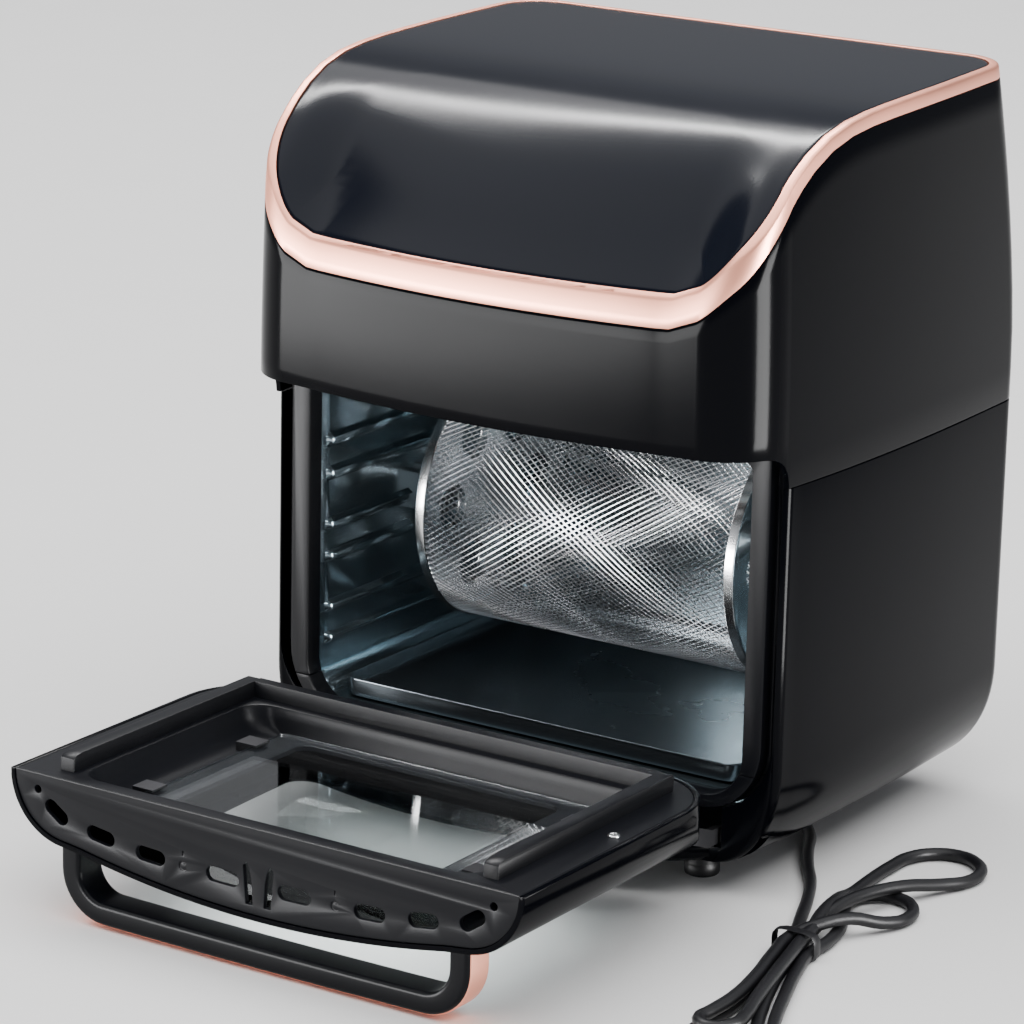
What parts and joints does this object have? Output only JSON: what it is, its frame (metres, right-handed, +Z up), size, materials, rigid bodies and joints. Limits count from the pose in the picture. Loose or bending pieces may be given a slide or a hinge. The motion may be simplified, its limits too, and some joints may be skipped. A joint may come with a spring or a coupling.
{
  "type": "rotisserie oven",
  "caption": "Countertop air-fryer oven with a drop-down glazed door, U-shaped handle, turning wire drum, fan, heating element, drip tray and mains cord.",
  "frame": {"origin": "on the surface that the feet stand on, under the middle of the oven measured with its door open", "axes": "+Z up, -Y is the door side, +X is the right side as seen from the door"},
  "size_m": [0.4458, 0.5595, 0.413],
  "materials": {
    "upper_housing": "gloss black",
    "trim_ring": "satin rose gold",
    "top_panel": "slate black",
    "lower_housing": "gloss black",
    "base_plate": "zinc plated",
    "foot_front_left": "matt black",
    "foot_front_right": "matt black",
    "foot_rear_left": "matt black",
    "foot_rear_right": "matt black",
    "rear_cover": "matte black",
    "door_jamb": "matte dark grey",
    "door_sill": "matte dark grey",
    "cavity_liner": "blue-green dark enamel",
    "drip_tray": "dark non-stick",
    "fan_guard": "plain",
    "heating_element": "heat darkened",
    "fan_motor": "plain",
    "motor_bridge": "plain",
    "drum_rest": "plain",
    "rotisserie_motor": "plain",
    "lamp_lens": "clear",
    "oven_lamp": "plain",
    "temperature_probe": "plain",
    "thermal_cutout": "plain",
    "power_board": "circuit board",
    "touch_module": "dark",
    "control_board": "circuit board",
    "hinge_bracket_left": "plain",
    "hinge_bracket_right": "plain",
    "strain_relief": "moulded",
    "cord_lead": "matt black",
    "cord_bundle": "matt black",
    "cord_tail": "matt black",
    "plug": "moulded",
    "door_outer_panel": "gloss black",
    "door_outer_glass": "tinted",
    "door_inner_frame": "matte dark grey",
    "door_inner_glass": "clear",
    "glass_clip_upper_left": "plain",
    "glass_clip_lower_left": "plain",
    "glass_clip_upper_right": "plain",
    "glass_clip_lower_right": "plain",
    "hinge_lug_left": "plain",
    "hinge_lug_right": "plain",
    "door_screw_left": "plain",
    "door_screw_right": "plain",
    "handle_bolt_left": "plain",
    "handle_bolt_right": "plain",
    "handle_grip": "satin black",
    "handle_trim": "satin rose gold",
    "drum_mesh": "plain",
    "drum_end_left": "plain",
    "drum_end_right": "plain",
    "drive_coupling": "plain",
    "fan_shaft": "plain",
    "convection_fan": "plain",
    "cooling_fan": "plain"
  },
  "bodies": {
    "housing": {"upper_housing": "upper_housing", "trim_ring": "trim_ring", "top_panel": "top_panel", "lower_housing": "lower_housing", "base_plate": "base_plate", "foot_front_left": "foot_front_left", "foot_front_right": "foot_front_right", "foot_rear_left": "foot_rear_left", "foot_rear_right": "foot_rear_right", "rear_cover": "rear_cover", "door_jamb": "door_jamb", "door_sill": "door_sill", "cavity_liner": "cavity_liner", "drip_tray": "drip_tray", "fan_guard": "fan_guard", "heating_element": "heating_element", "fan_motor": "fan_motor", "motor_bridge": "motor_bridge", "drum_rest": "drum_rest", "rotisserie_motor": "rotisserie_motor", "lamp_lens": "lamp_lens", "oven_lamp": "oven_lamp", "temperature_probe": "temperature_probe", "thermal_cutout": "thermal_cutout", "power_board": "power_board", "touch_module": "touch_module", "control_board": "control_board", "hinge_bracket_left": "hinge_bracket_left", "hinge_bracket_right": "hinge_bracket_right", "strain_relief": "strain_relief", "cord_lead": "cord_lead", "cord_bundle": "cord_bundle", "cord_tail": "cord_tail", "plug": "plug"},
    "door": {"door_outer_panel": "door_outer_panel", "door_outer_glass": "door_outer_glass", "door_inner_frame": "door_inner_frame", "door_inner_glass": "door_inner_glass", "glass_clip_upper_left": "glass_clip_upper_left", "glass_clip_lower_left": "glass_clip_lower_left", "glass_clip_upper_right": "glass_clip_upper_right", "glass_clip_lower_right": "glass_clip_lower_right", "hinge_lug_left": "hinge_lug_left", "hinge_lug_right": "hinge_lug_right", "door_screw_left": "door_screw_left", "door_screw_right": "door_screw_right", "handle_bolt_left": "handle_bolt_left", "handle_bolt_right": "handle_bolt_right", "handle_grip": "handle_grip", "handle_trim": "handle_trim"},
    "drum": {"drum_mesh": "drum_mesh", "drum_end_left": "drum_end_left", "drum_end_right": "drum_end_right"},
    "drum_drive": {"drive_coupling": "drive_coupling"},
    "fans": {"fan_shaft": "fan_shaft", "convection_fan": "convection_fan", "cooling_fan": "cooling_fan"}
  },
  "joints": [
    {"name": "door_hinge", "type": "hinge", "parent": "housing", "child": "door", "pos_m": [0, -0.044, 0.0435], "axis": [1, 0, 0], "range_deg": [-90, 0]},
    {"name": "drum_spin", "type": "hinge", "parent": "housing", "child": "drum", "pos_m": [0, 0.109, 0.155], "axis": [1, 0, 0], "continuous": true},
    {"name": "drive_spin", "type": "hinge", "parent": "housing", "child": "drum_drive", "pos_m": [0.12, 0.109, 0.155], "axis": [1, 0, 0], "continuous": true},
    {"name": "fan_spin", "type": "hinge", "parent": "housing", "child": "fans", "pos_m": [0, 0.102, 0.287], "axis": [0, 0, 1], "continuous": true}
  ],
  "couplings": [
    {"joint": "drive_spin", "follows": "drum_spin", "ratio": 1}
  ]
}
